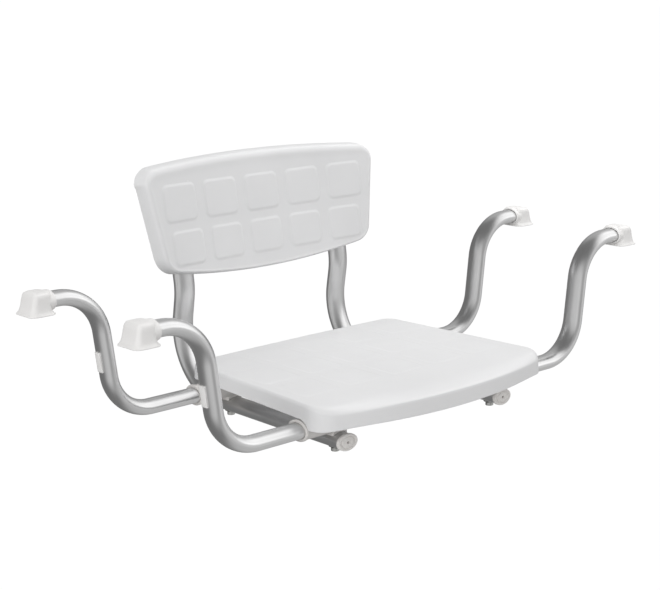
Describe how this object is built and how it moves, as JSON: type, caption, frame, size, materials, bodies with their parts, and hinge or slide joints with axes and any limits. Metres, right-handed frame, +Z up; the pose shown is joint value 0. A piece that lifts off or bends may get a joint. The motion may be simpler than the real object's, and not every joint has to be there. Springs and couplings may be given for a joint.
{
  "type": "bath seat",
  "caption": "Bath seat with a moulded plate, a curved backrest on bent tubes, and sliding bent arms whose flared feet hang on the rims of a bath.",
  "frame": {"origin": "middle of the whole seat's width and depth, at the underside of the clamp bolts' heads", "axes": "+X to the right of someone who faces the seat from the front, +Y to the backrest, +Z up"},
  "size_m": [0.903, 0.428, 0.3362],
  "materials": {
    "seat_white": "fine satin moulded plastic",
    "panel_white": "fine satin moulded plastic",
    "foot_white": "soft satin moulding",
    "sleeve_beige": "satin moulded plastic",
    "plug_beige": "satin moulded plastic",
    "frame_aluminium": "satin anodised, drawn along the tube",
    "arm_aluminium": "satin anodised, drawn along the tube",
    "zinc_steel": "zinc plated"
  },
  "bodies": {
    "seat": {"seat_plate": "seat_white", "backrest_panel": "panel_white", "left_frame_tube": "frame_aluminium", "right_frame_tube": "frame_aluminium", "left_front_plug": "plug_beige", "right_front_plug": "plug_beige", "left_top_plug": "plug_beige", "right_top_plug": "plug_beige", "upper_left_screw": "zinc_steel", "upper_right_screw": "zinc_steel", "lower_left_screw": "zinc_steel", "lower_right_screw": "zinc_steel", "front_left_sleeve": "sleeve_beige", "front_left_clamp_bolt": "zinc_steel", "front_left_saddle_washer": "zinc_steel", "front_left_captive_nut": "zinc_steel", "front_right_sleeve": "sleeve_beige", "front_right_clamp_bolt": "zinc_steel", "front_right_saddle_washer": "zinc_steel", "front_right_captive_nut": "zinc_steel", "rear_left_sleeve": "sleeve_beige", "rear_left_clamp_bolt": "zinc_steel", "rear_left_saddle_washer": "zinc_steel", "rear_left_captive_nut": "zinc_steel", "rear_right_sleeve": "sleeve_beige", "rear_right_clamp_bolt": "zinc_steel", "rear_right_saddle_washer": "zinc_steel", "rear_right_captive_nut": "zinc_steel"},
    "front_left_arm": {"front_left_arm": "arm_aluminium", "front_left_rim_foot": "foot_white", "front_left_wall_pad": "foot_white", "front_left_arm_plug": "plug_beige"},
    "front_right_arm": {"front_right_arm": "arm_aluminium", "front_right_rim_foot": "foot_white", "front_right_wall_pad": "foot_white", "front_right_arm_plug": "plug_beige"},
    "rear_left_arm": {"rear_left_arm": "arm_aluminium", "rear_left_rim_foot": "foot_white", "rear_left_wall_pad": "foot_white", "rear_left_arm_plug": "plug_beige"},
    "rear_right_arm": {"rear_right_arm": "arm_aluminium", "rear_right_rim_foot": "foot_white", "rear_right_wall_pad": "foot_white", "rear_right_arm_plug": "plug_beige"}
  },
  "joints": [
    {"name": "front_left_slide", "type": "slide", "parent": "seat", "child": "front_left_arm", "axis": [-1, 0, 0], "range_m": [-0.051, 0.006]},
    {"name": "front_right_slide", "type": "slide", "parent": "seat", "child": "front_right_arm", "axis": [1, 0, 0], "range_m": [-0.0368, 0.0202]},
    {"name": "rear_left_slide", "type": "slide", "parent": "seat", "child": "rear_left_arm", "axis": [-1, 0, 0], "range_m": [-0.055, 0.002]},
    {"name": "rear_right_slide", "type": "slide", "parent": "seat", "child": "rear_right_arm", "axis": [1, 0, 0], "range_m": [-0.055, 0.002]}
  ]
}
